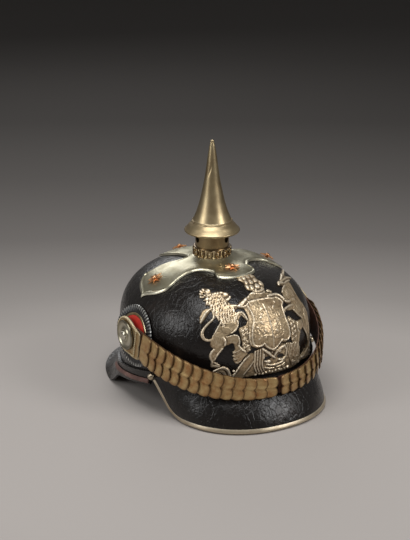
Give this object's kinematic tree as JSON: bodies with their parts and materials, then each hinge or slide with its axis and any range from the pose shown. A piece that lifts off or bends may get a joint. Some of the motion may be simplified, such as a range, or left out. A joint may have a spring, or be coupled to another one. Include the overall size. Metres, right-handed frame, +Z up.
{
  "type": "spiked leather parade helmet",
  "caption": "Black leather parade helmet with a screw-in spike on a cruciform base, an embossed front plate, front visor, neck guard and a hinged scaled chin strap.",
  "frame": {"origin": "centre of the bounding box's base, on the floor that the visor trim and the neck guard rest on, below the spike's axis", "axes": "+Z up along the spike's axis, -Y towards the front visor, -X towards the wearer's right"},
  "size_m": [0.2032, 0.2683, 0.2477],
  "materials": {
    "black_leather": "lacquered, slightly wrinkled",
    "strip_leather": "worn",
    "trim_brass": "worn satin",
    "base_metal": "worn silvery satin",
    "star_gold": "satin",
    "spike_brass": "worn satin",
    "pearl_brass": "darkened",
    "fittings_brass": "dull",
    "washer_leather": "dark",
    "plate_metal": "worn gilt",
    "cockade_black": "painted",
    "cockade_gold": "painted",
    "cockade_red": "painted",
    "rosette_silver": "bright worn",
    "strap_leather": "worn",
    "strap_end_metal": "worn",
    "scale_brass": "dull gilt",
    "lining_leather": "soft"
  },
  "bodies": {
    "shell": {"skull": "black_leather", "front_visor": "black_leather", "neck_guard": "black_leather", "edge_strips": "strip_leather", "visor_trim": "trim_brass", "visor_trim_balls": "trim_brass", "rear_spine": "trim_brass", "rear_spine_screws": "trim_brass", "rear_spine_nuts": "fittings_brass", "spike_base": "base_metal", "star_studs": "star_gold", "star_stud_nuts": "fittings_brass", "neck": "spike_brass", "pearl_ring": "pearl_brass", "spike_bridge": "fittings_brass", "spike_socket": "fittings_brass", "front_plate": "plate_metal", "plate_posts": "plate_metal", "plate_nuts": "fittings_brass", "cockade_ring_right": "cockade_black", "cockade_band_right": "cockade_gold", "cockade_centre_right": "cockade_red", "cockade_ring_left": "cockade_black", "cockade_band_left": "cockade_gold", "cockade_centre_left": "cockade_red", "rosette_right": "rosette_silver", "rosette_left": "rosette_silver", "rosette_posts": "rosette_silver", "rosette_nuts": "fittings_brass", "sweatband": "lining_leather", "lining_tongues": "lining_leather"},
    "spike_washer": {"spike_washer": "washer_leather"},
    "spike": {"spike": "spike_brass", "spike_stud": "fittings_brass"},
    "chin_strap": {"strap_leather_right": "strap_leather", "strap_leather_left": "strap_leather", "strap_end_right": "strap_end_metal", "strap_end_left": "strap_end_metal", "strap_scales_right": "scale_brass", "strap_scales_left": "scale_brass", "strap_tab": "strap_leather"}
  },
  "joints": [
    {"name": "spike_turn", "type": "hinge", "parent": "shell", "child": "spike_washer", "pos_m": [0, 0, 0.156], "axis": [0, 0, 1], "range_deg": [0, 2160]},
    {"name": "spike_lift", "type": "slide", "parent": "spike_washer", "child": "spike", "axis": [0, 0, 1], "range_m": [0, 0.0091]},
    {"name": "chin_strap_swing", "type": "hinge", "parent": "shell", "child": "chin_strap", "pos_m": [0, -0.0017, 0.0693], "axis": [-1, 0, 0], "range_deg": [0, 85]}
  ],
  "couplings": [
    {"joint": "spike_lift", "follows": "spike_turn", "m_per_rad": 0.00023873}
  ]
}
